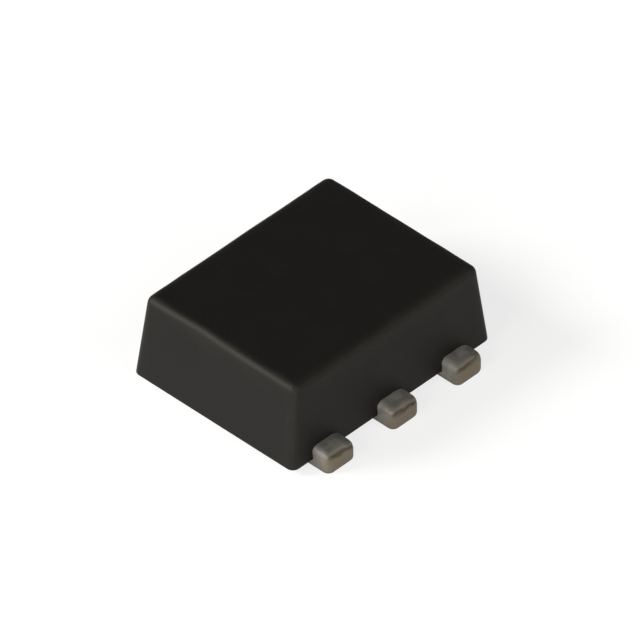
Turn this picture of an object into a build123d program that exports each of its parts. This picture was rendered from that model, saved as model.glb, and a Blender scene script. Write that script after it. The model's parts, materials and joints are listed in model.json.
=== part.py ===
from build123d import *

import os
from math import cos, hypot, radians, tan

# Radio-frequency amplifier chip in a six-lead flat-lead plastic package, in millimetres.
# Three leads leave each of the two sides that face X. The rows of leads run along Y, and Z is up.
# The origin is the middle of the package, so the leads rest half its height below it.

# Moulded body
overall_height = 0.54
standoff = 0.04             # how far the lead soles stand below the moulded underside
body_length = 1.475         # along the rows of leads, at the underside
body_width = 1.15           # from lead side to lead side, at the underside
end_draft = 6.5             # degrees, on the two end faces
side_draft = 4.4            # degrees, on the two faces that the leads leave
corner_radius = 0.045
top_edge_radius = 0.04

# Leads, cut and pressed from one copper alloy strip
lead_pitch = 0.48
lead_width = 0.22
lead_thickness = 0.12
lead_reach = 0.11           # from the underside's edge out to the cut end
sole_gap = 0.89             # between the inner ends of the two rows of soles
finger_rise = 0.125         # step up from the sole to the finger inside the plastic
ramp_angle = 50             # degrees, of that step
bend_radius = 0.035
finger_gap = 0.32           # between the tips of two fingers that face each other
rolled_edge_radius = 0.045  # roll-over that the press leaves round the upper edges

# Chip, and the silver epoxy under it
chip_side = 0.34
chip_thickness = 0.10
epoxy_thickness = 0.012
epoxy_margin = 0.02         # how far the epoxy shows round the chip
epoxy_corner_radius = 0.03

# Die pad, on one strip with the two middle leads
pad_side_margin = 0.03      # bare strip beside the epoxy, towards the leads
pad_shelf = 0.09            # bare strip at each end, where the ground wires land
pad_corner_radius = 0.04

# Gold bond wires
wire_diameter = 0.025
ball_diameter = 0.055       # of the squashed ball on the chip
ball_height = 0.024
stitch_length = 0.060       # of the flattened tail that ends a wire
stitch_width = 0.050
stitch_thickness = 0.008
stitch_taper = 76           # degrees, of the tail's sides
end_clearance = 0.002       # under the wire's end, inside its stitch
loop_corner = 0.022         # of the bend that leads from the ball's neck into the loop
loop_slope = 6              # degrees, of the run of a loop that leads away from the chip
finger_loop_height = 0.075  # above the chip, of a long wire to a finger
finger_landing_angle = 40   # degrees, at which it comes down
pad_loop_height = 0.060     # above the chip, of a short wire to the die pad
pad_landing_angle = 78      # degrees, at which it comes down
corner_bond_inset = 0.055   # from the chip's edges to a bond at its corner
ground_bond_inset = 0.042   # from the chip's edge to a ground bond
finger_stitch_inset = 0.09  # from a finger's tip to its stitch
stitch_offset = 0.03        # from a finger's middle line to its stitch, towards the chip

# Levels
seat_level = -overall_height / 2
underside_level = seat_level + standoff
top_level = overall_height / 2
finger_level = seat_level + finger_rise + lead_thickness
chip_base_level = finger_level + epoxy_thickness
chip_level = chip_base_level + chip_thickness

# Places along X, on the side that faces +X
tip_x = body_width / 2 + lead_reach
sole_x = sole_gap / 2
ramp_top_x = sole_x - finger_rise / tan(radians(ramp_angle))
mitre = lead_thickness * tan(radians(ramp_angle / 2))
foot_end_x = sole_x + mitre + bend_radius
finger_tip_x = finger_gap / 2

epoxy_side = chip_side + 2 * epoxy_margin
pad_width = epoxy_side + 2 * pad_side_margin
pad_length = epoxy_side + 2 * pad_shelf

single_leads = {
    "input_lead": (-1, 1),
    "second_ground_lead": (-1, -1),
    "output_lead": (1, -1),
    "supply_lead": (1, 1),
}


# One lead on the +X side, with its middle line on the X axis, from its cut end in to inner_x.
# The press rolls the upper edges of the foot over, and flattens the finger crisp for its wire.
def press_lead(inner_x):
    with BuildPart() as lead:
        with BuildSketch(Plane.XZ):
            with Locations(((foot_end_x + tip_x) / 2, seat_level + lead_thickness / 2)):
                Rectangle(tip_x - foot_end_x, lead_thickness)
        extrude(amount=lead_width / 2, both=True)
        upper_edges = lead.faces().sort_by(Axis.Z)[-1].edges()
        end_edges = lead.faces().sort_by(Axis.X)[-1].edges()
        rolled_edges = upper_edges.filter_by(Axis.X) + upper_edges.sort_by(Axis.X)[-1:]
        fillet(rolled_edges + end_edges.filter_by(Axis.Z), radius=rolled_edge_radius)
        with BuildSketch(Plane.XZ) as step:
            with BuildLine():
                Polyline(
                    (foot_end_x, seat_level),
                    (sole_x, seat_level),
                    (ramp_top_x, seat_level + finger_rise),
                    (inner_x, seat_level + finger_rise),
                    (inner_x, finger_level),
                    (ramp_top_x + mitre, finger_level),
                    (sole_x + mitre, seat_level + lead_thickness),
                    (foot_end_x, seat_level + lead_thickness),
                    close=True,
                )
            make_face()
            fillet(step.vertices().sort_by(Axis.X)[2:-2], radius=bend_radius)
        extrude(amount=lead_width / 2, both=True)
    return lead.part


# A gold wire in one piece: the squashed ball on the chip, the loop, and the flattened tail.
# The loop stands in the upright plane through bond and landing, with its run measured from the bond.
def bond_wire(bond, landing, loop_height, landing_angle):
    run = hypot(landing[0] - bond[0], landing[1] - bond[1])
    heading = Vector(landing[0] - bond[0], landing[1] - bond[1]).normalized()
    loop_plane = Plane(origin=bond, x_dir=heading, z_dir=heading.cross(Vector(0, 0, 1)))
    stitch_plane = Plane(origin=(*landing, finger_level), x_dir=heading.cross(Vector(0, 0, 1)))
    fall = tan(radians(loop_slope))
    drop = tan(radians(landing_angle))
    wire_radius = wire_diameter / 2
    end_level = finger_level + end_clearance + wire_radius * cos(radians(landing_angle))
    loop_level = chip_level + loop_height
    knee = (end_level + drop * run - loop_level - fall * loop_corner) / (drop - fall)
    with BuildPart() as wire:
        with BuildSketch(Plane.XY.offset(chip_level)):
            with Locations(bond):
                Circle(ball_diameter / 2)
        with BuildSketch(Plane.XY.offset(chip_level + ball_height)):
            with Locations(bond):
                Circle(wire_radius)
        loft()
        with BuildLine(loop_plane) as route:
            Polyline(
                (0, chip_level + ball_height),
                (0, loop_level - loop_corner),
                (loop_corner, loop_level),
                (knee, loop_level - fall * (knee - loop_corner)),
                (run, end_level),
            )
        with BuildSketch(Plane.XY.offset(chip_level + ball_height)):
            with Locations(bond):
                Circle(wire_radius)
        sweep(path=route.wire(), transition=Transition.RIGHT)
        with BuildSketch(stitch_plane):
            Trapezoid(stitch_width, stitch_length, stitch_taper)
        extrude(amount=stitch_thickness)
    return wire.part


os.makedirs("parts", exist_ok=True)
pieces = {}

with BuildPart() as ground_frame:
    add(press_lead(0))
    mirror(about=Plane.YZ)
    with BuildSketch(Plane.XY.offset(finger_level)):
        RectangleRounded(pad_width, pad_length, pad_corner_radius)
    extrude(amount=-lead_thickness)
pieces["ground_frame"] = ground_frame.part

for name, (side, end) in single_leads.items():
    with BuildPart() as single_lead:
        with Locations((0, end * lead_pitch, 0)):
            add(press_lead(finger_tip_x))
        if side < 0:
            mirror(about=Plane.YZ, mode=Mode.REPLACE)
    pieces[name] = single_lead.part

with BuildPart() as chip_epoxy:
    with BuildSketch(Plane.XY.offset(finger_level)):
        RectangleRounded(epoxy_side, epoxy_side, epoxy_corner_radius)
    extrude(amount=epoxy_thickness)
pieces["chip_epoxy"] = chip_epoxy.part

with BuildPart() as chip:
    with BuildSketch(Plane.XY.offset(chip_base_level)):
        Rectangle(chip_side, chip_side)
    extrude(amount=chip_thickness)
pieces["chip"] = chip.part

corner_bond = chip_side / 2 - corner_bond_inset
finger_stitch_x = finger_tip_x + finger_stitch_inset
finger_stitch_y = lead_pitch - stitch_offset
for name, (side, end) in single_leads.items():
    pieces[name.replace("lead", "wire")] = bond_wire(
        (side * corner_bond, end * corner_bond),
        (side * finger_stitch_x, end * finger_stitch_y),
        finger_loop_height,
        finger_landing_angle,
    )

ground_bond_y = chip_side / 2 - ground_bond_inset
pad_stitch_y = (epoxy_side + pad_shelf) / 2
for name, end in {"front_pad_wire": -1, "back_pad_wire": 1}.items():
    pieces[name] = bond_wire(
        (0, end * ground_bond_y),
        (0, end * pad_stitch_y),
        pad_loop_height,
        pad_landing_angle,
    )

with BuildPart() as mould_body:
    with BuildSketch(Plane.XY.offset(underside_level)):
        Rectangle(body_width, body_length)
    with BuildSketch(Plane.XY.offset(top_level)):
        body_height = top_level - underside_level
        Rectangle(
            body_width - 2 * body_height * tan(radians(side_draft)),
            body_length - 2 * body_height * tan(radians(end_draft)),
        )
    loft()
    fillet(mould_body.edges().group_by(Axis.Z)[1], radius=corner_radius)
    fillet(mould_body.faces().sort_by(Axis.Z)[-1].edges(), radius=top_edge_radius)
    for piece in pieces.values():
        add(piece, mode=Mode.SUBTRACT)
pieces["mould_body"] = mould_body.part

for name, piece in pieces.items():
    piece.label = name
    export_step(piece, f"parts/{name}.step")
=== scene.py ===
import json
import math

import bmesh
import bpy
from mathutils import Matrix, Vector, noise

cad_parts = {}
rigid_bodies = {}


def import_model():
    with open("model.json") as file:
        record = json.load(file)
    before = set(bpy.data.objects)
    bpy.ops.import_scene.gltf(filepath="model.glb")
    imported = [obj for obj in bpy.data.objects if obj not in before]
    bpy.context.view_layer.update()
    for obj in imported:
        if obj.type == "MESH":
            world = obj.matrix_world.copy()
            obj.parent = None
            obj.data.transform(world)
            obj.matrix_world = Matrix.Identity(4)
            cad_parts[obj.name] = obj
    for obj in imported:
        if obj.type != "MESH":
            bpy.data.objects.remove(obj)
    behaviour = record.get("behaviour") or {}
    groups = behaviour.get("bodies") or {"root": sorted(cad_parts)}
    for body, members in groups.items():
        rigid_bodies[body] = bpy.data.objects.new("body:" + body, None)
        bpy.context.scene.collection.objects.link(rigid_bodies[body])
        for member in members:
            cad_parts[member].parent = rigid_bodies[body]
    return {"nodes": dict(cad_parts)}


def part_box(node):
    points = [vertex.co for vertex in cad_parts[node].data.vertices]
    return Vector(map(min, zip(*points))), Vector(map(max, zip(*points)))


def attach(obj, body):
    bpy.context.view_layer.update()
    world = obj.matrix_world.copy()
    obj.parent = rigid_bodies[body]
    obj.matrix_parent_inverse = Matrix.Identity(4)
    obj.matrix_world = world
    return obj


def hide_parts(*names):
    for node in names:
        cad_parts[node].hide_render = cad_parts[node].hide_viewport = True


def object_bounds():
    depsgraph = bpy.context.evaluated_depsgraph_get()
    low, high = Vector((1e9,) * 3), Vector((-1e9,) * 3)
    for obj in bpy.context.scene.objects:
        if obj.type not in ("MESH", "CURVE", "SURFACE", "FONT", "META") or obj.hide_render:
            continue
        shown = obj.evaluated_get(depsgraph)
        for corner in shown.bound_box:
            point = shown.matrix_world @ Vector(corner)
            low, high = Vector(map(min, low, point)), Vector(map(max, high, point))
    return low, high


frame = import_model()
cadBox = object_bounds()
scene = bpy.context.scene
mm = 0.001
um = 0.000001
weldGap = 0.01 * um    # vertices nearer than this become one
noiseSpan = {"From Min": 0.3, "From Max": 0.7}    # holds nearly all values of a noise texture
bodyLow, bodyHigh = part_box("mould_body")
seatLevel = cadBox[0].z
print("frame loaded:", len(frame["nodes"]), "nodes")

# Camera

view = dict(
    azimuth=43.86,             # degrees, as the photograph looks at the part
    elevation=40.62,
    pixelsPerMm=193.9,
    basePixel=(312.0, 354.9),  # where the middle of the moulded underside falls
    frameSide=640,
    lens=1080,                 # millimetres, so long that the view is almost parallel
    sensor=36,
    clipNear=0.5,              # clipping planes, in camera distances
    clipFar=20,
)


def lookFrom(azimuth, elevation):
    a, e = math.radians(azimuth), math.radians(elevation)
    return Vector((math.sin(a) * math.cos(e), -math.cos(a) * math.cos(e), math.sin(e)))


def placeCamera():
    back = lookFrom(view["azimuth"], view["elevation"])
    right = Vector((0, 0, 1)).cross(back).normalized()
    up = back.cross(right)
    pixel = mm / view["pixelsPerMm"]
    half = view["frameSide"] / 2
    aim = Vector((0, 0, bodyLow.z))
    aim += right * (half - view["basePixel"][0]) * pixel
    aim += up * (view["basePixel"][1] - half) * pixel
    away = view["frameSide"] * pixel * view["lens"] / view["sensor"]
    lens = bpy.data.cameras.new("viewCamera")
    lens.lens = view["lens"]
    lens.sensor_width = view["sensor"]
    lens.clip_start = away * view["clipNear"]
    lens.clip_end = away * view["clipFar"]
    camera = bpy.data.objects.new("viewCamera", lens)
    camera.location = aim + back * away
    camera.rotation_mode = "QUATERNION"
    camera.rotation_quaternion = back.to_track_quat("Z", "Y")
    scene.collection.objects.link(camera)
    scene.camera = camera


placeCamera()
scene.view_settings.view_transform = "Standard"

# Node and mesh helpers


def toLinear(hexColour):
    shares = [int(hexColour[i:i + 2], 16) / 255 for i in (1, 3, 5)]
    return [s / 12.92 if s <= 0.04045 else ((s + 0.055) / 1.055) ** 2.4 for s in shares] + [1]


# Adds a node. A socket among the inputs is linked, and any other value is set.
# Mix blends 6 and 7 (colours) into output 2, or 2 and 3 (numbers) into output 0, by its socket 0.
def addNode(tree, kind, inputs, **settings):
    made = tree.nodes.new("ShaderNode" + kind)
    for name, value in settings.items():
        setattr(made, name, value)
    for name, value in inputs.items():
        if isinstance(value, bpy.types.NodeSocket):
            tree.links.new(value, made.inputs[name])
        else:
            made.inputs[name].default_value = value
    return made


def startMaterial(name):
    made = bpy.data.materials.new(name)
    made.use_nodes = True
    made.node_tree.nodes.clear()
    return made, made.node_tree


def pieceFrom(bm, name, finish):
    mesh = bpy.data.meshes.new(name)
    bm.to_mesh(mesh)
    bm.free()
    mesh.materials.append(finish)
    piece = bpy.data.objects.new(name, mesh)
    scene.collection.objects.link(piece)
    return piece


# Cuts the tools out of a piece, or joins them to it, and keeps the result as its plain mesh.
def combine(piece, operation, tools):
    for tool in tools:
        step = piece.modifiers.new(tool.name, "BOOLEAN")
        step.operation = operation
        step.solver = "EXACT"
        step.object = tool
    shown = piece.evaluated_get(bpy.context.evaluated_depsgraph_get())
    mesh = bpy.data.meshes.new_from_object(shown)
    piece.modifiers.clear()
    piece.data = mesh


def blockOf(size, middle):
    bm = bmesh.new()
    bmesh.ops.create_cube(bm, size=1)
    bmesh.ops.scale(bm, vec=size, verts=bm.verts)
    bmesh.ops.translate(bm, vec=middle, verts=bm.verts)
    return bm


def closedSolid(bm):
    bmesh.ops.remove_doubles(bm, verts=bm.verts, dist=weldGap)
    bmesh.ops.recalc_face_normals(bm, faces=bm.faces)


# Light and floor

studio = dict(
    # name, azimuth, elevation and spread in degrees, and level: at 1 it would make white
    # card that faces the lamp render white
    lamps=(
        ("keyLamp", -43, 33, 24, 1.17),    # low on the left, lights the short top edge
        ("frontLamp", 2, 24, 40, 0.57),    # low in front, lights the near sides of the leads
        ("sideLamp", 102, 32, 50, 0.39),   # on the right, lights the cut ends and the tops
        ("cornerLamp", 48, 8, 30, 0.30),   # very low, lights the front upright edge
    ),
    skyLow="#FFFFFF",     # walls of the light tent, near the floor
    skyHigh="#7A7A7A",    # darker ceiling, which the flat top of the part reflects
    skySpan=(0.12, 0.52),  # sines of the elevations at which those two colours are pure
    skyLevel=0.10,
    floorSide=400 * mm,
    floorColour="#F0EFEC",
    cardShare=0.7,        # of plain white in the card, for the eye and for reflections only
    cardLevel=1.06,
)


def lightStudio():
    for name, azimuth, elevation, spread, level in studio["lamps"]:
        lamp = bpy.data.lights.new(name, "SUN")
        lamp.energy = level * math.pi
        lamp.angle = math.radians(spread)
        stand = bpy.data.objects.new(name, lamp)
        stand.rotation_mode = "QUATERNION"
        stand.rotation_quaternion = lookFrom(azimuth, elevation).to_track_quat("Z", "Y")
        scene.collection.objects.link(stand)

    world = bpy.data.worlds.new("lightTent")
    world.use_nodes = True
    scene.world = world
    tree = world.node_tree
    tree.nodes.clear()
    where = addNode(tree, "TexCoord", {})
    split = addNode(tree, "SeparateXYZ", {"Vector": where.outputs["Generated"]})
    sky = addNode(tree, "ValToRGB", {"Fac": split.outputs["Z"]})
    sky.color_ramp.interpolation = "EASE"
    low, high = sky.color_ramp.elements
    low.position, high.position = studio["skySpan"]
    low.color, high.color = toLinear(studio["skyLow"]), toLinear(studio["skyHigh"])
    tent = addNode(tree, "Background", {
        "Color": sky.outputs["Color"], "Strength": studio["skyLevel"]})
    white = addNode(tree, "Background", {"Color": toLinear("#FFFFFF")})
    rays = addNode(tree, "LightPath", {})
    both = addNode(tree, "MixShader", {
        0: rays.outputs["Is Camera Ray"], 1: tent.outputs[0], 2: white.outputs[0]})
    addNode(tree, "OutputWorld", {"Surface": both.outputs[0]})


# Matt white card. It gives the eye a plain white ground that takes a faint soft shadow.
def layFloor():
    card, tree = startMaterial("matt white card")
    rays = addNode(tree, "LightPath", {})
    seen = addNode(tree, "Math", {
        0: rays.outputs["Is Camera Ray"], 1: rays.outputs["Is Glossy Ray"]}, operation="MAXIMUM")
    seen = addNode(tree, "Math", {
        0: seen.outputs[0], 1: rays.outputs["Is Transmission Ray"]}, operation="MAXIMUM")
    share = addNode(tree, "Math", {
        0: seen.outputs[0], 1: studio["cardShare"]}, operation="MULTIPLY")
    lit = addNode(tree, "BsdfDiffuse", {"Color": toLinear(studio["floorColour"])})
    plain = addNode(tree, "Emission", {"Strength": studio["cardLevel"]})
    both = addNode(tree, "MixShader", {0: share.outputs[0], 1: lit.outputs[0], 2: plain.outputs[0]})
    addNode(tree, "OutputMaterial", {"Surface": both.outputs[0]})
    bm = bmesh.new()
    bmesh.ops.create_grid(bm, x_segments=1, y_segments=1, size=studio["floorSide"] / 2)
    bmesh.ops.translate(bm, vec=(0, 0, seatLevel), verts=bm.verts)
    pieceFrom(bm, "floorCard", card)


lightStudio()
layFloor()
print("camera, lamps, light tent and floor ready")

# Black epoxy moulding compound, pressed in a spark-eroded steel cavity.
# The cavity's fine craters give the eye a dead matt, slightly grainy black that turns grey
# towards the white floor, and the silica filler shows as faint pale points. The edges are
# painted paler: a painted highlight on the rounded edges, with a little handling wear.

epoxyFinish = dict(
    darkColour="#121110",
    lightColour="#141211",
    cloudSpan=(0.36, 0.66),    # noise values at which those two colours are pure
    fillerColour="#2A2824",
    fillerSpan=(0.16, 0.05),   # of a cell's width, from a point's rim in to where it is palest
    fillerShare=0.7,           # of that colour there
    # paler edge colour: painted highlight on the rounded edges, with a little handling wear
    rubAndHighlightColour="#211F1B",
    rubAndHighlightSpan=(0.35, 0.65),      # noise values of the least and the most rubbed and highlighted patches
    rubAndHighlightShares=(0.7, 1.15),     # and how much of that colour these two take
    sheenTint="#FFFAEE",
    ior=1.5,
    specularLevel=0.178,
    roughLow=0.56,
    roughHigh=0.62,
    craterWidth=0.011 * mm,
    craterDepth=1.1 * um,
    cloudWidth=0.22 * mm,
    fillerWidth=0.009 * mm,
)


def makeEpoxy(f):
    made, tree = startMaterial("spark-eroded black moulding epoxy")
    where = addNode(tree, "TexCoord", {}).outputs["Object"]
    cloud = addNode(tree, "TexNoise", {
        "Vector": where, "Scale": 1 / f["cloudWidth"], "Detail": 4, "Roughness": 0.6})
    filler = addNode(tree, "TexVoronoi", {"Vector": where, "Scale": 1 / f["fillerWidth"]})
    crater = addNode(tree, "TexNoise", {
        "Vector": where, "Scale": 1 / f["craterWidth"], "Detail": 3, "Roughness": 0.65})
    colour = addNode(tree, "ValToRGB", {"Fac": cloud.outputs["Fac"]})
    dark, light = colour.color_ramp.elements
    dark.position, light.position = f["cloudSpan"]
    dark.color, light.color = toLinear(f["darkColour"]), toLinear(f["lightColour"])
    rim, palest = f["fillerSpan"]
    point = addNode(tree, "MapRange", {
        "Value": filler.outputs["Distance"], "From Min": rim, "From Max": palest,
        "To Max": f["fillerShare"]})
    speckled = addNode(tree, "Mix", {
        0: point.outputs[0], 6: colour.outputs["Color"], 7: toLinear(f["fillerColour"])},
        data_type="RGBA")
    # Paler colour along the edges: painted highlight on the rounded edges, with a little handling
    # wear
    rubAndHighlight = addNode(tree, "Attribute", {}, attribute_name="rubAndHighlight")
    patchy = addNode(tree, "MapRange", {
        "Value": cloud.outputs["Fac"], "From Min": f["rubAndHighlightSpan"][0], "From Max": f["rubAndHighlightSpan"][1],
        "To Min": f["rubAndHighlightShares"][0], "To Max": f["rubAndHighlightShares"][1]})
    rubAndHighlightShare = addNode(tree, "Math", {
        0: rubAndHighlight.outputs["Fac"], 1: patchy.outputs[0]}, operation="MULTIPLY")
    worn = addNode(tree, "Mix", {
        0: rubAndHighlightShare.outputs[0], 6: speckled.outputs[2], 7: toLinear(f["rubAndHighlightColour"])},
        data_type="RGBA")
    rough = addNode(tree, "MapRange", {
        "Value": cloud.outputs["Fac"], **noiseSpan,
        "To Min": f["roughLow"], "To Max": f["roughHigh"]})
    relief = addNode(tree, "Bump", {
        "Height": crater.outputs["Fac"], "Distance": f["craterDepth"]})
    shader = addNode(tree, "BsdfPrincipled", {
        "Base Color": worn.outputs[2], "Roughness": rough.outputs[0],
        "Normal": relief.outputs[0], "IOR": f["ior"], "Specular IOR Level": f["specularLevel"],
        "Specular Tint": toLinear(f["sheenTint"])})
    addNode(tree, "OutputMaterial", {"Surface": shader.outputs[0]})
    return made


# Matt tin plate on pressed copper alloy strip.
# The plating bath leaves fine grey grains that blur every reflection; the punch that cuts the
# strip off drags the tin over the end and leaves a thin brown streak of bare alloy there. The
# tips have dulled, and the lower sides are painted darker towards the sole, as painted shade.
# Tin is plated after moulding, so inside the plastic the strip shows its reddish bare alloy.

tinFinish = dict(
    greyColour="#7F7B72",
    paleColour="#9B978E",
    plateSpan=(0.38, 0.62),   # noise values at which those two colours are pure
    # colour of the dull tips, and of the painted shade on the lower sides
    dullAndShadeColour="#5F5C55",
    shadeHeight=0.11 * mm,     # above the sole, where the painted shade on the lower sides fades out
    dullAndShadeShare=0.8,
    cutColour="#6C6351",
    copperColour="#4A3E2D",
    metallic=0.5,
    roughLow=0.52,
    roughHigh=0.66,
    grainWidth=0.010 * mm,
    grainDepth=0.7 * um,
    stainWidth=0.07 * mm,
    smearDepth=0.055 * mm,    # how far in from the end the cut's colours fade out
    smearFull=0.002 * mm,     # and where they are full
    smearRagged=0.016 * mm,
    cutFade=(0.9, -0.3),      # in half heights above the streak's middle: none and all of cutColour
    streakDepth=0.020 * mm,   # how far in the streak reaches where the end is rounded
    streakFade=(1.5, 0.2),    # in half heights from its middle: none and all of copperColour
    streakRagged=0.35,        # in half heights
    stripDark="#96684E",
    stripPale="#B98263",
    stripMetallic=0.9,
    platedInset=0.010 * mm,   # how far the tin's end lies inside the plastic
)


def makeTin(f):
    made, tree = startMaterial("matt tin plate on copper alloy")
    where = addNode(tree, "TexCoord", {}).outputs["Object"]
    stain = addNode(tree, "TexNoise", {
        "Vector": where, "Scale": 1 / f["stainWidth"], "Detail": 5, "Roughness": 0.6})
    grain = addNode(tree, "TexNoise", {
        "Vector": where, "Scale": 1 / f["grainWidth"], "Detail": 2, "Roughness": 0.6})
    plate = addNode(tree, "ValToRGB", {"Fac": stain.outputs["Fac"]})
    grey, pale = plate.color_ramp.elements
    grey.position, pale.position = f["plateSpan"]
    grey.color, pale.color = toLinear(f["greyColour"]), toLinear(f["paleColour"])

    # How near a point lies to the tip, with a ragged line, and how low on the foot, for painted
    # shade
    split = addNode(tree, "SeparateXYZ", {"Vector": where})
    outward = addNode(tree, "Math", {0: split.outputs["X"]}, operation="ABSOLUTE")
    tipX = cadBox[1].x
    smear = addNode(tree, "MapRange", {
        "Value": stain.outputs["Fac"], **noiseSpan,
        "To Min": -f["smearRagged"], "To Max": f["smearRagged"]})
    reach = addNode(tree, "Math", {
        0: outward.outputs[0], 1: smear.outputs[0]}, operation="ADD")
    onCut = addNode(tree, "MapRange", {
        "Value": reach.outputs[0], "From Min": tipX - f["smearDepth"],
        "From Max": tipX - f["smearFull"]})
    low = addNode(tree, "MapRange", {
        "Value": split.outputs["Z"], "From Min": seatLevel + f["shadeHeight"],
        "From Max": seatLevel})
    # the tips' dulling and the painted shade on the lower sides, in one mask
    worn = addNode(tree, "Math", {0: low.outputs[0], 1: onCut.outputs[0]}, operation="MAXIMUM")
    dull = addNode(tree, "Math", {0: worn.outputs[0], 1: f["dullAndShadeShare"]}, operation="MULTIPLY")
    dulledAndShaded = addNode(tree, "Mix", {
        0: dull.outputs[0], 6: plate.outputs["Color"], 7: toLinear(f["dullAndShadeColour"])},
        data_type="RGBA")

    # The torn streak, and the sheared part of the end below it
    onEnd = addNode(tree, "MapRange", {
        "Value": outward.outputs[0], "From Min": tipX - f["streakDepth"],
        "From Max": tipX - f["streakDepth"] / 2})
    torn = addNode(tree, "Attribute", {}, attribute_name="tornLine")
    ragged = addNode(tree, "MapRange", {
        "Value": stain.outputs["Fac"], **noiseSpan,
        "To Min": -f["streakRagged"], "To Max": f["streakRagged"]})
    offset = addNode(tree, "Math", {
        0: torn.outputs["Fac"], 1: ragged.outputs[0]}, operation="ADD")
    away = addNode(tree, "Math", {0: offset.outputs[0]}, operation="ABSOLUTE")
    inStreak = addNode(tree, "MapRange", {
        "Value": away.outputs[0], "From Min": f["streakFade"][0], "From Max": f["streakFade"][1]})
    below = addNode(tree, "MapRange", {
        "Value": offset.outputs[0], "From Min": f["cutFade"][0], "From Max": f["cutFade"][1]})
    sheared = addNode(tree, "Math", {
        0: onCut.outputs[0], 1: below.outputs[0]}, operation="MULTIPLY")
    bare = addNode(tree, "Math", {
        0: inStreak.outputs[0], 1: onEnd.outputs[0]}, operation="MULTIPLY")
    cut = addNode(tree, "Mix", {
        0: sheared.outputs[0], 6: dulledAndShaded.outputs[2], 7: toLinear(f["cutColour"])},
        data_type="RGBA")
    colour = addNode(tree, "Mix", {
        0: bare.outputs[0], 6: cut.outputs[2], 7: toLinear(f["copperColour"])},
        data_type="RGBA")

    # Tin beside and under the plastic, and the bare strip inside it
    fade = f["platedInset"] / 2
    edgeX, edgeZ = bodyHigh.x - f["platedInset"], bodyLow.z + f["platedInset"]
    outside = addNode(tree, "MapRange", {
        "Value": outward.outputs[0], "From Min": edgeX - fade, "From Max": edgeX})
    under = addNode(tree, "MapRange", {
        "Value": split.outputs["Z"], "From Min": edgeZ, "From Max": edgeZ - fade})
    plated = addNode(tree, "Math", {
        0: outside.outputs[0], 1: under.outputs[0]}, operation="MAXIMUM")
    strip = addNode(tree, "Mix", {
        0: stain.outputs["Fac"], 6: toLinear(f["stripDark"]), 7: toLinear(f["stripPale"])},
        data_type="RGBA")
    whole = addNode(tree, "Mix", {
        0: plated.outputs[0], 6: strip.outputs[2], 7: colour.outputs[2]}, data_type="RGBA")
    metallic = addNode(tree, "MapRange", {
        "Value": plated.outputs[0], "To Min": f["stripMetallic"], "To Max": f["metallic"]})

    rough = addNode(tree, "MapRange", {
        "Value": stain.outputs["Fac"], **noiseSpan,
        "To Min": f["roughLow"], "To Max": f["roughHigh"]})
    relief = addNode(tree, "Bump", {
        "Height": grain.outputs["Fac"], "Distance": f["grainDepth"]})
    shader = addNode(tree, "BsdfPrincipled", {
        "Base Color": whole.outputs[2], "Metallic": metallic.outputs[0],
        "Roughness": rough.outputs[0], "Normal": relief.outputs[0]})
    addNode(tree, "OutputMaterial", {"Surface": shader.outputs[0]})
    return made


epoxy = makeEpoxy(epoxyFinish)
tin = makeTin(tinFinish)

# Leads. Sides and slopes are given for the +X row. The -X row is the same, turned half round.

lead = dict(
    width=0.22 * mm,
    thickness=0.12 * mm,
    soleX=0.445 * mm,         # inner end of the sole
    fingerRise=0.125 * mm,
    rampAngle=50,             # degrees
    bendRadius=0.035 * mm,
    bendSteps=6,              # of a bend, and of a corner of the die pad
    rolledSides=(0.032 * mm, 0.085 * mm),   # upper edges that face -Y and +Y
    rolledTip=0.048 * mm,                   # upper edge of the cut end
    tipCorner=0.034 * mm,                   # upright edge of the cut end, at its -Y side
    rollSteps=8,
    padSize=(0.44 * mm, 0.56 * mm),
    padCorner=0.04 * mm,
    endGrid=(26, 16),         # fields across and up the cut end, so that the torn streak can sink
    gridFacing=0.2,           # the grid goes through faces whose normal has more of X than this
    gridSnap=0.3 * um,        # a cut takes over vertices nearer to it than this
    tornDepth=0.004 * mm,     # how deep the streak lies in the cut end
    tornSides=0.5,            # share of that depth at the lead's two sides
    tornGain=2.2,             # what that share gains inwards, for each width of the lead
    tornHeights=(0.019 * mm, 0.009 * mm),   # half the streak's height, at its -Y and +Y sides
    sway=0.7,                 # how far it wanders up and down, in half heights
    swayWidth=0.045 * mm,     # and how far apart its twists lie
    sinkReach=0.02 * mm,      # only vertices this near to the tip sink,
    sinkFacing=0.6,           # and only those whose normal has more of X than this
)
# For each lead's cut end: how far the torn streak's middle lies below its top, the streak's
# slope along Y, and the radius of the upright edge at its +Y side
ends = {
    "input_lead": (0.022 * mm, 0.08, 0.062 * mm),
    "ground_frame": (0.029 * mm, -0.04, 0.072 * mm),
    "second_ground_lead": (0.018 * mm, -0.09, 0.071 * mm),
    "output_lead": (0.027 * mm, -0.14, 0.060 * mm),
    "supply_lead": (0.017 * mm, 0.16, 0.076 * mm),
}


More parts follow.
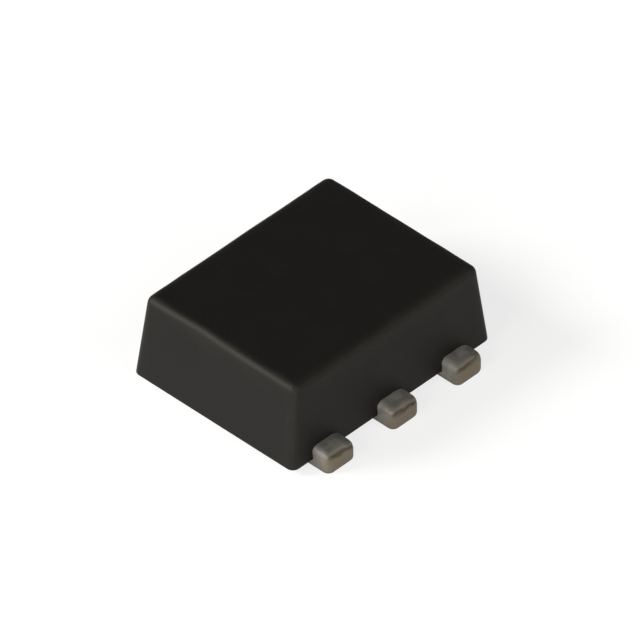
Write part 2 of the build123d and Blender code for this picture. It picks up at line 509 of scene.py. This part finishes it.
# The strip of a lead on the +X side, from innerX out to its foot. The press keeps it crisp.
def pressStrip(innerX, middleY, footX):
    turn = math.radians(lead["rampAngle"])
    soleX, thick = lead["soleX"], lead["thickness"]
    rampTopX = soleX - lead["fingerRise"] / math.tan(turn)
    mitre = thick * math.tan(turn / 2)
    low, high = seatLevel, seatLevel + lead["fingerRise"]
    outline = [
        (footX, low), (soleX, low), (rampTopX, high), (innerX, high),
        (innerX, high + thick), (rampTopX + mitre, high + thick),
        (soleX + mitre, low + thick), (footX, low + thick),
    ]
    bm = bmesh.new()
    side = middleY - lead["width"] / 2
    corners = [bm.verts.new((x, side, z)) for x, z in outline]
    bm.faces.new(corners)
    bends = [corners[1], corners[2], corners[5], corners[6]]
    bmesh.ops.bevel(
        bm, geom=bends, offset=lead["bendRadius"] * math.tan(turn / 2), offset_type="OFFSET",
        affect="VERTICES", segments=lead["bendSteps"], profile=0.5, material=-1)
    grown = bmesh.ops.extrude_face_region(bm, geom=bm.faces[:])
    moved = [g for g in grown["geom"] if isinstance(g, bmesh.types.BMVert)]
    bmesh.ops.translate(bm, vec=(0, lead["width"], 0), verts=moved)
    closedSolid(bm)
    return bm


# The foot outside the plastic. The press rolls its upper edges over, more on the +Y side.
# The middle of an edge lies at 0 or at half the block's size from the block's middle.
def pressFoot(middleY, footX, farCorner):
    tipX = cadBox[1].x
    size = Vector((tipX - footX, lead["width"], lead["thickness"]))
    middle = Vector(((tipX + footX) / 2, middleY, seatLevel + lead["thickness"] / 2))
    bm = blockOf(size, middle)
    weight = bm.edges.layers.float.new("bevel_weight_edge")
    tipCorners = (lead["tipCorner"], farCorner)
    widest = max(lead["rolledSides"] + tipCorners)
    for edge in bm.edges:
        place = sum((v.co for v in edge.verts), Vector()) / 2 - middle
        outer, upper = place.x > size.x / 4, place.z > size.z / 4
        beside, beyond = abs(place.y) > size.y / 4, place.y > 0
        radius = 0
        if upper and beside:
            radius = lead["rolledSides"][beyond]
        elif outer and upper:
            radius = lead["rolledTip"]
        elif outer and beside and abs(place.z) < size.z / 4:
            radius = tipCorners[beyond]
        edge[weight] = radius / widest
    piece = pieceFrom(bm, "foot", tin)
    roll = piece.modifiers.new("roll", "BEVEL")
    roll.limit_method = "WEIGHT"
    roll.width = widest
    roll.segments = lead["rollSteps"]
    roll.profile = 0.5
    return piece


# Cuts a fine grid in a lead's one or two cut ends, then sinks the streak that the punch tears
# there. The material reads how many half heights each vertex lies above the streak's middle.
def tearEnds(piece, middleY, below, slope):
    tipX, thick, width = cadBox[1].x, lead["thickness"], lead["width"]
    across, upward = lead["endGrid"]
    rounded = max(lead["rolledSides"])
    cuts = [((0, middleY + width * (i / across - 0.5), 0), (0, 1, 0)) for i in range(1, across)]
    cuts += [((0, 0, seatLevel + thick * i / upward), (0, 0, 1)) for i in range(1, upward)]
    bm = bmesh.new()
    bm.from_mesh(piece.data)
    for point, normal in cuts:
        end = [
            f for f in bm.faces if abs(f.normal.x) > lead["gridFacing"]
            and abs(f.calc_center_median().x) > tipX - rounded]
        parts = dict.fromkeys(part for f in end for part in (*f.verts, *f.edges, f))
        bmesh.ops.bisect_plane(
            bm, geom=list(parts), dist=lead["gridSnap"], plane_co=point, plane_no=normal)
    bm.normal_update()
    line = bm.verts.layers.float.new("tornLine")
    near, far = lead["tornHeights"]
    for v in bm.verts:
        out = math.copysign(1, v.co.x)
        along = (v.co.y - middleY) / width * out
        middle = seatLevel + thick - below + slope * along * width
        sway = noise.noise(v.co / lead["swayWidth"]) * lead["sway"]
        v[line] = (v.co.z - middle) / (near + (far - near) * (along + 0.5)) + sway
        if abs(v.co.x) > tipX - lead["sinkReach"] and v.normal.x * out > lead["sinkFacing"]:
            share = min(1, lead["tornSides"] + lead["tornGain"] * (0.5 - abs(along)))
            v.co.x -= out * lead["tornDepth"] * share * max(0, 1 - abs(v[line]))
    bm.to_mesh(piece.data)
    bm.free()


# Joins a foot and a strip, as one lead on the +X side
def joinLead(innerX, middleY, farCorner):
    turn = math.radians(lead["rampAngle"])
    footX = lead["soleX"] + lead["thickness"] * math.tan(turn / 2) + lead["bendRadius"]
    piece = pressFoot(middleY, footX, farCorner)
    strip = pieceFrom(pressStrip(innerX, middleY, footX), "strip", tin)
    combine(piece, "UNION", [strip])
    bpy.data.objects.remove(strip)
    return piece


# A half turn round the Z axis changes the signs of X and Y
def turnAcross(piece):
    bm = bmesh.new()
    bm.from_mesh(piece.data)
    bmesh.ops.scale(bm, vec=(-1, -1, 1), verts=bm.verts)
    bmesh.ops.recalc_face_normals(bm, faces=bm.faces)
    bm.to_mesh(piece.data)
    bm.free()


# The two middle leads and the die pad between them, in one strip
def pressGroundFrame(farCorner):
    piece = joinLead(0, 0, farCorner)
    otherHalf = joinLead(0, 0, farCorner)
    turnAcross(otherHalf)
    thick = lead["thickness"]
    bm = blockOf(
        Vector((*lead["padSize"], thick)),
        Vector((0, 0, seatLevel + lead["fingerRise"] + thick / 2)))
    uprights = [e for e in bm.edges if abs(e.verts[0].co.z - e.verts[1].co.z) > thick / 2]
    bmesh.ops.bevel(
        bm, geom=uprights, offset=lead["padCorner"], offset_type="OFFSET",
        affect="EDGES", segments=lead["bendSteps"], profile=0.5, material=-1)
    closedSolid(bm)
    pad = pieceFrom(bm, "pad", tin)
    combine(piece, "UNION", [otherHalf, pad])
    for spare in (otherHalf, pad):
        bpy.data.objects.remove(spare)
    return piece


leadPieces = []
singleLeads = {"input_lead": -1, "second_ground_lead": -1, "output_lead": 1, "supply_lead": 1}
for name, side in singleLeads.items():
    low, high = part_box(name)
    middleY = (low.y + high.y) / 2
    below, slope, farCorner = ends[name]
    piece = joinLead(min(abs(low.x), abs(high.x)), middleY * side, farCorner)
    if side < 0:
        turnAcross(piece)
    piece.name = name + "_pressed"
    tearEnds(piece, middleY, below, slope)
    leadPieces.append((piece, name))

below, slope, farCorner = ends["ground_frame"]
piece = pressGroundFrame(farCorner)
piece.name = "ground_frame_pressed"
tearEnds(piece, 0, below, slope)
leadPieces.append((piece, "ground_frame"))
print("leads pressed:", len(leadPieces))

# Moulded body

mould = dict(
    endDraft=6.5,             # degrees, on the two end faces
    sideDraft=4.4,            # degrees, on the faces that the leads leave
    cornerRadius=0.045 * mm,
    topRadius=0.04 * mm,
    edgeSteps=10,             # of those two
    footBreak=0.006 * mm,     # worn arris round the underside
    footSteps=3,
    cornerFrom=0.99,          # of the top's half size: the upright edges beyond it are rounded
    wallFacing=0.9,           # a face whose normal has less of Z than this is part of a wall
    loops=(26, 20),           # cuts along the length and the width, so that the edges can waver
    loopMargin=0.06 * mm,     # kept clear of the rounded corners
    levels=7,                 # cuts round the sides
    levelMargins=(0.02 * mm, 0.01 * mm),    # kept clear of the underside and the rounded top edge
    cutSnap=0.1 * um,         # a cut takes over vertices nearer to it than this
    copyWeld=0.05 * um,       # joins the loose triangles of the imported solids
    waver=0.0045 * mm,        # how far the rounded top edge strays from straight, at its -Y side
    calmWaver=0.0018 * mm,    # and elsewhere
    waverWidth=0.12 * mm,
    waverReach=1.05,          # of the top radius, how far down it strays
    waverFrom=0.88,           # of the half length: beyond it lies the -Y side
    flatFacing=0.999,         # vertices that look straight up stay on the flat top
    dentDepth=0.011 * mm,     # shallow dent that bows the -Y top edge inward
    dentX=-0.165 * mm,
    dentWidth=0.12 * mm,
    dentFade=0.30 * mm,       # how far down the wall the dent fades out
    dentFrom=0.85,            # of the half length: only the wall and its edges lie beyond it
    rubAndHighlightReach=0.058 * mm,      # how far the painted edge highlight and wear spreads from an edge
)


# Cuts the whole mesh along a plane
def cutAcross(bm, point, normal):
    bmesh.ops.bisect_plane(
        bm, geom=bm.verts[:] + bm.edges[:] + bm.faces[:], dist=mould["cutSnap"],
        plane_co=point, plane_no=normal)


def mouldBlock():
    size = bodyHigh - bodyLow
    bm = blockOf(size, (bodyLow + bodyHigh) / 2)
    top = [v for v in bm.verts if v.co.z > 0]
    narrow = [
        1 - 2 * size.z * math.tan(math.radians(mould["sideDraft"])) / size.x,
        1 - 2 * size.z * math.tan(math.radians(mould["endDraft"])) / size.y,
        1,
    ]
    bmesh.ops.scale(bm, vec=narrow, verts=top)
    for axis, count in ((1, mould["loops"][0]), (0, mould["loops"][1])):
        reach = abs(top[0].co[axis]) - mould["loopMargin"]
        normal = Vector((axis == 0, axis == 1, 0))
        for i in range(count):
            cutAcross(bm, normal * reach * (2 * i / (count - 1) - 1), normal)
    uprights = [
        e for e in bm.edges if abs(e.verts[0].co.z - e.verts[1].co.z) > size.z / 2
        and min(abs(v.co.x) for v in e.verts) > abs(top[0].co.x) * mould["cornerFrom"]
        and min(abs(v.co.y) for v in e.verts) > abs(top[0].co.y) * mould["cornerFrom"]]
    bmesh.ops.bevel(
        bm, geom=uprights, offset=mould["cornerRadius"], offset_type="OFFSET",
        affect="EDGES", segments=mould["edgeSteps"], profile=0.5, material=-1)
    for level, radius, steps in (
            (bodyHigh.z, mould["topRadius"], mould["edgeSteps"]),
            (bodyLow.z, mould["footBreak"], mould["footSteps"])):
        bm.normal_update()
        rim = [
            e for e in bm.edges if all(abs(v.co.z - level) < mould["cutSnap"] for v in e.verts)
            and any(abs(f.normal.z) < mould["wallFacing"] for f in e.link_faces)]
        bmesh.ops.bevel(
            bm, geom=rim, offset=radius, offset_type="OFFSET",
            affect="EDGES", segments=steps, profile=0.5, material=-1)
    lowest = bodyLow.z + mould["levelMargins"][0]
    highest = bodyHigh.z - mould["topRadius"] - mould["levelMargins"][1]
    for i in range(mould["levels"]):
        level = lowest + (highest - lowest) * i / (mould["levels"] - 1)
        cutAcross(bm, (0, 0, level), (0, 0, 1))
    closedSolid(bm)
    return bm


# Bows the top edge at -Y inward at one place, and lets the whole top edge waver
def wearBlock(bm):
    bm.normal_update()
    strays = {}
    for v in bm.verts:
        share = max(0, 1 - (bodyHigh.z - v.co.z) / mould["dentFade"])
        if v.co.y < bodyLow.y * mould["dentFrom"]:
            aside = (v.co.x - mould["dentX"]) / mould["dentWidth"]
            bow = math.exp(-aside * aside) * share * share * (3 - 2 * share)
            v.co.y += mould["dentDepth"] * bow
        depth = bodyHigh.z - v.co.z
        if depth < mould["topRadius"] * mould["waverReach"] and v.normal.z < mould["flatFacing"]:
            strays[v] = v.normal * noise.noise(v.co / mould["waverWidth"])
            atFront = v.co.y < bodyLow.y * mould["waverFrom"]
            strays[v] *= mould["waver"] if atFront else mould["calmWaver"]
    for v, stray in strays.items():
        v.co += stray
        v.co.z = min(v.co.z, bodyHigh.z)


# Marks how near each vertex of the body lies to an edge, for the painted edge highlight and wear
def markRubAndHighlight(piece):
    bm = bmesh.new()
    bm.from_mesh(piece.data)
    rubAndHighlight = bm.verts.layers.float.new("rubAndHighlight")
    half = (bodyHigh - bodyLow) / 2
    drafts = [math.tan(math.radians(mould[key])) for key in ("sideDraft", "endDraft")]
    for v in bm.verts:
        rise = v.co.z - bodyLow.z
        gaps = [half[i] - rise * drafts[i] - abs(v.co[i]) for i in (0, 1)] + [bodyHigh.z - v.co.z]
        nearest, second = sorted(gaps)[:2]
        if second < mould["rubAndHighlightReach"]:
            v[rubAndHighlight] = 1 - (second - nearest) / mould["rubAndHighlightReach"]
    bm.to_mesh(piece.data)
    bm.free()


block = mouldBlock()
wearBlock(block)
body = pieceFrom(block, "mould_body_pressed", epoxy)
innerNames = [n for n in frame["nodes"] if n.startswith("chip") or n.endswith("wire")]
cutters = [piece for piece, name in leadPieces]
for name in innerNames:
    bm = bmesh.new()
    bm.from_mesh(frame["nodes"][name].data)
    bmesh.ops.remove_doubles(bm, verts=bm.verts, dist=mould["copyWeld"])
    cutters.append(pieceFrom(bm, name + "_copy", epoxy))
combine(body, "DIFFERENCE", cutters)
for cutter in cutters[len(leadPieces):]:
    bpy.data.objects.remove(cutter)
markRubAndHighlight(body)
print("mould body:", len(body.data.polygons), "faces")

# Silver-filled epoxy under the chip.
# Silver flakes lie flat in a clear resin, and give the eye a pale grey paste with a fine glitter.

pasteFinish = dict(
    flakeColour="#C9C6BF",
    resinColour="#6F6A61",
    metallic=0.7,
    roughLow=0.34,
    roughHigh=0.68,
    shineSpan=(0.05, 0.45),    # of a flake's shine: all resin and all silver
    flakeWidth=0.006 * mm,
    flakeRelief=0.6 * um,
    swirlWidth=0.05 * mm,
)


def makePaste(f):
    made, tree = startMaterial("silver-filled epoxy paste, cured")
    where = addNode(tree, "TexCoord", {}).outputs["Object"]
    swirl = addNode(tree, "TexNoise", {
        "Vector": where, "Scale": 1 / f["swirlWidth"], "Detail": 3, "Distortion": 0.8})
    flake = addNode(tree, "TexVoronoi", {"Vector": where, "Scale": 1 / f["flakeWidth"]})
    turn = addNode(tree, "SeparateXYZ", {"Vector": flake.outputs["Color"]})
    shine = addNode(tree, "Math", {
        0: turn.outputs["X"], 1: swirl.outputs["Fac"]}, operation="MULTIPLY")
    share = addNode(tree, "MapRange", {
        "Value": shine.outputs[0], "From Min": f["shineSpan"][0], "From Max": f["shineSpan"][1]})
    colour = addNode(tree, "Mix", {
        0: share.outputs[0], 6: toLinear(f["resinColour"]), 7: toLinear(f["flakeColour"])},
        data_type="RGBA")
    rough = addNode(tree, "MapRange", {
        "Value": share.outputs[0], "To Min": f["roughHigh"], "To Max": f["roughLow"]})
    relief = addNode(tree, "Bump", {"Height": turn.outputs["Y"], "Distance": f["flakeRelief"]})
    shader = addNode(tree, "BsdfPrincipled", {
        "Base Color": colour.outputs[2], "Metallic": f["metallic"], "Roughness": rough.outputs[0],
        "Normal": relief.outputs[0]})
    addNode(tree, "OutputMaterial", {"Surface": shader.outputs[0]})
    return made


# Silicon chip, ground thin and sawn from its wafer.
# The passivated face gives the eye smooth blue-grey circuit blocks, and the blade leaves the
# four sides darker and duller, with fine level scratches.

siliconFinish = dict(
    blockColour="#66707E",
    fieldColour="#454D5B",
    sawnColour="#4A4A4F",
    faceSpan=(0.4, 0.9),       # share of Z in the normal: all sawn side and all circuit face
    metallic=0.55,
    faceRough=(0.16, 0.28),
    sawnRough=(0.38, 0.58),
    blockWidth=0.038 * mm,
    blockRelief=0.5 * um,
    scratchShow=0.35,          # of blockColour in a scratch, at the most
    scratchWidth=0.003 * mm,
    scratchRun=0.14 * mm,
    scratchDepth=0.4 * um,
)


def makeSilicon(f):
    made, tree = startMaterial("sawn and passivated silicon")
    where = addNode(tree, "TexCoord", {}).outputs["Object"]
    block = addNode(tree, "TexVoronoi", {
        "Vector": where, "Scale": 1 / f["blockWidth"], "Randomness": 0.55}, distance="CHEBYCHEV")
    tint = addNode(tree, "SeparateXYZ", {"Vector": block.outputs["Color"]})
    run = 1 / f["scratchRun"]
    stretched = addNode(tree, "Mapping", {
        "Vector": where, "Scale": (run, run, 1 / f["scratchWidth"])})
    scratch = addNode(tree, "TexNoise", {
        "Vector": stretched.outputs[0], "Scale": 1, "Detail": 3, "Roughness": 0.7})
    facing = addNode(tree, "NewGeometry", {})
    axes = addNode(tree, "SeparateXYZ", {"Vector": facing.outputs["True Normal"]})
    onFace = addNode(tree, "MapRange", {
        "Value": axes.outputs["Z"], "From Min": f["faceSpan"][0], "From Max": f["faceSpan"][1]})
    circuit = addNode(tree, "Mix", {
        0: tint.outputs["X"], 6: toLinear(f["fieldColour"]), 7: toLinear(f["blockColour"])},
        data_type="RGBA")
    worn = addNode(tree, "MapRange", {
        "Value": scratch.outputs["Fac"], **noiseSpan, "To Max": f["scratchShow"]})
    sawn = addNode(tree, "Mix", {
        0: worn.outputs[0], 6: toLinear(f["sawnColour"]), 7: toLinear(f["blockColour"])},
        data_type="RGBA")
    colour = addNode(tree, "Mix", {
        0: onFace.outputs[0], 6: sawn.outputs[2], 7: circuit.outputs[2]}, data_type="RGBA")
    dull = addNode(tree, "MapRange", {
        "Value": scratch.outputs["Fac"], **noiseSpan,
        "To Min": f["sawnRough"][0], "To Max": f["sawnRough"][1]})
    smooth = addNode(tree, "MapRange", {
        "Value": tint.outputs["Y"], "To Min": f["faceRough"][0], "To Max": f["faceRough"][1]})
    rough = addNode(tree, "Mix", {
        0: onFace.outputs[0], 2: dull.outputs[0], 3: smooth.outputs[0]}, data_type="FLOAT")
    level = addNode(tree, "Mix", {
        0: onFace.outputs[0], 2: scratch.outputs["Fac"], 3: tint.outputs["X"]},
        data_type="FLOAT")
    depth = addNode(tree, "MapRange", {
        "Value": onFace.outputs[0], "To Min": f["scratchDepth"], "To Max": f["blockRelief"]})
    relief = addNode(tree, "Bump", {"Height": level.outputs[0], "Distance": depth.outputs[0]})
    shader = addNode(tree, "BsdfPrincipled", {
        "Base Color": colour.outputs[2], "Metallic": f["metallic"], "Roughness": rough.outputs[0],
        "Normal": relief.outputs[0]})
    addNode(tree, "OutputMaterial", {"Surface": shader.outputs[0]})
    return made


# Gold bond wire, drawn through a diamond die, with a ball melted at one end.
# It gives the eye a warm yellow gleam with faint draw lines, a little duller where it was pressed.

goldFinish = dict(
    warmColour="#E8BE70",
    brightColour="#FFDF95",
    patchSpan=(0.32, 0.6),     # noise values at which those two colours are pure
    roughLow=0.17,
    roughHigh=0.34,
    patchWidth=0.03 * mm,
    lineWidth=0.003 * mm,
    lineDepth=0.15 * um,
)


def makeGold(f):
    made, tree = startMaterial("drawn gold bond wire")
    where = addNode(tree, "TexCoord", {}).outputs["Object"]
    patch = addNode(tree, "TexNoise", {
        "Vector": where, "Scale": 1 / f["patchWidth"], "Detail": 3, "Roughness": 0.55})
    line = addNode(tree, "TexNoise", {
        "Vector": where, "Scale": 1 / f["lineWidth"], "Detail": 2, "Roughness": 0.5})
    colour = addNode(tree, "ValToRGB", {"Fac": patch.outputs["Fac"]})
    warm, bright = colour.color_ramp.elements
    warm.position, bright.position = f["patchSpan"]
    warm.color, bright.color = toLinear(f["warmColour"]), toLinear(f["brightColour"])
    rough = addNode(tree, "MapRange", {
        "Value": patch.outputs["Fac"], **noiseSpan,
        "To Min": f["roughHigh"], "To Max": f["roughLow"]})
    relief = addNode(tree, "Bump", {"Height": line.outputs["Fac"], "Distance": f["lineDepth"]})
    shader = addNode(tree, "BsdfPrincipled", {
        "Base Color": colour.outputs["Color"], "Metallic": 1, "Roughness": rough.outputs[0],
        "Normal": relief.outputs[0]})
    addNode(tree, "OutputMaterial", {"Surface": shader.outputs[0]})
    return made


# The chip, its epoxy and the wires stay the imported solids, and only take these finishes
gold = makeGold(goldFinish)
innerFinishes = {"chip_epoxy": makePaste(pasteFinish), "chip": makeSilicon(siliconFinish)}
for name in innerNames:
    for materialSlot in frame["nodes"][name].material_slots:
        materialSlot.link = "OBJECT"
        materialSlot.material = innerFinishes.get(name, gold)
print("inner pieces finished:", len(innerNames))

# Shading and hand-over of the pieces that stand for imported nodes

shading = dict(
    creaseAngle=32,           # degrees; an edge that turns by more stays crisp
    weight=80,                # of large faces over small ones in the blended normals
    evenArea=0.001 * mm * mm,  # faces that differ in area by less count as equal
)


def finishMesh(piece):
    bm = bmesh.new()
    bm.from_mesh(piece.data)
    for face in bm.faces:
        face.smooth = True
    crease = math.radians(shading["creaseAngle"])
    for edge in bm.edges:
        edge.smooth = edge.is_manifold and edge.calc_face_angle() < crease
    bm.to_mesh(piece.data)
    bm.free()
    even = piece.modifiers.new("evenShading", "WEIGHTED_NORMAL")
    even.keep_sharp = True
    even.weight = shading["weight"]
    even.thresh = shading["evenArea"]


for piece, name in leadPieces + [(body, "mould_body")]:
    finishMesh(piece)
    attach(piece, "root")
    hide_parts(name)

print("done")
